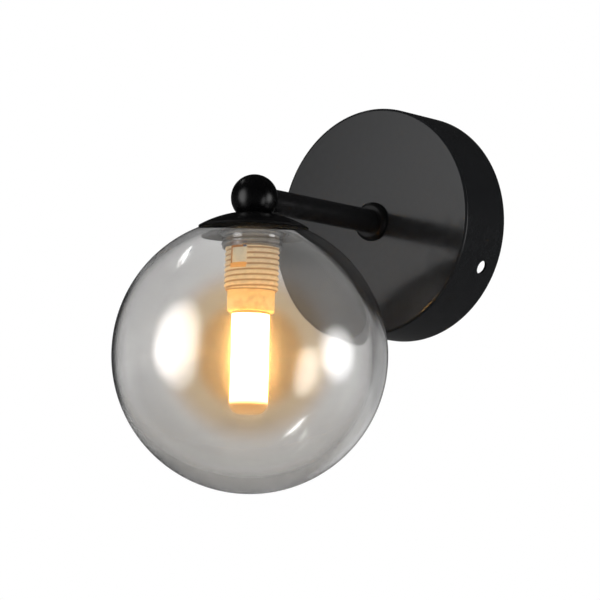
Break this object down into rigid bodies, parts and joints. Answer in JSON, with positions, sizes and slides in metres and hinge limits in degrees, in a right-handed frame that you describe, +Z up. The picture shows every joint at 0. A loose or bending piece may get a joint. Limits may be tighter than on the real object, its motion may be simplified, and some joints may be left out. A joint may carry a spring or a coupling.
{
  "type": "globe wall sconce",
  "caption": "Wall light with a drum canopy, a straight arm with a ball elbow and a dome cap, and a screw-on smoked glass globe round a capsule bulb.",
  "frame": {"origin": "centre of the canopy and of the two wall-screw holes, on the wall plane", "axes": "+Y into the wall, along the arm; -Y into the room; +Z up, parallel to the lamp's hanging axis; +X to the right seen from the room"},
  "size_m": [0.12, 0.1771, 0.1813],
  "materials": {
    "pearl_black": "gloss",
    "gloss_black": "gloss",
    "zinc_steel": "satin",
    "bright_brass": "satin",
    "white_nylon": "matte",
    "live_insulation": "satin",
    "neutral_insulation": "satin",
    "earth_insulation": "satin",
    "smoke_glass": "polished",
    "clear_silicone": "satin",
    "holder_plastic": "satin",
    "white_ceramic": "matte",
    "contact_bronze": "satin",
    "pin_wire": "polished",
    "bulb_cover": "frosted",
    "bulb_body": "satin",
    "light_chip": "satin"
  },
  "bodies": {
    "fixture": {"canopy": "pearl_black", "mounting_bracket": "zinc_steel", "side_screw": "gloss_black", "arm_collar": "gloss_black", "arm_tube": "gloss_black", "arm_washer": "zinc_steel", "earth_tag": "zinc_steel", "arm_nut": "zinc_steel", "cable_bush": "white_nylon", "terminal_block": "white_nylon", "terminal_sleeves": "bright_brass", "terminal_screws": "zinc_steel", "block_screw": "zinc_steel", "earth_washer": "bright_brass", "earth_screw": "bright_brass", "earth_lead": "earth_insulation", "live_lead": "live_insulation", "neutral_lead": "neutral_insulation", "ball_elbow": "gloss_black", "cap_nipple": "zinc_steel", "dome_cap": "gloss_black", "cap_nut": "zinc_steel", "lampholder_sleeve": "holder_plastic", "ceramic_socket": "white_ceramic", "live_contact": "contact_bronze", "neutral_contact": "contact_bronze"},
    "seal": {"seal_ring": "clear_silicone"},
    "globe": {"glass_globe": "smoke_glass"},
    "bulb": {"bulb_base": "bulb_body", "bulb_pins": "pin_wire", "bulb_envelope": "bulb_cover", "led_column": "bulb_body", "led_chips": "light_chip"}
  },
  "joints": [
    {"name": "globe_drop", "type": "slide", "parent": "fixture", "child": "seal", "axis": [0, 0, -1], "range_m": [0, 0.0093]},
    {"name": "globe_turn", "type": "hinge", "parent": "seal", "child": "globe", "pos_m": [0, -0.1171, 0], "axis": [0, 0, -1], "range_deg": [0, 1440]},
    {"name": "bulb_pull", "type": "slide", "parent": "fixture", "child": "bulb", "axis": [0, 0, -1], "range_m": [0, 0.012]}
  ],
  "couplings": [
    {"joint": "globe_drop", "follows": "globe_turn", "m_per_rad": 0.00036606}
  ]
}
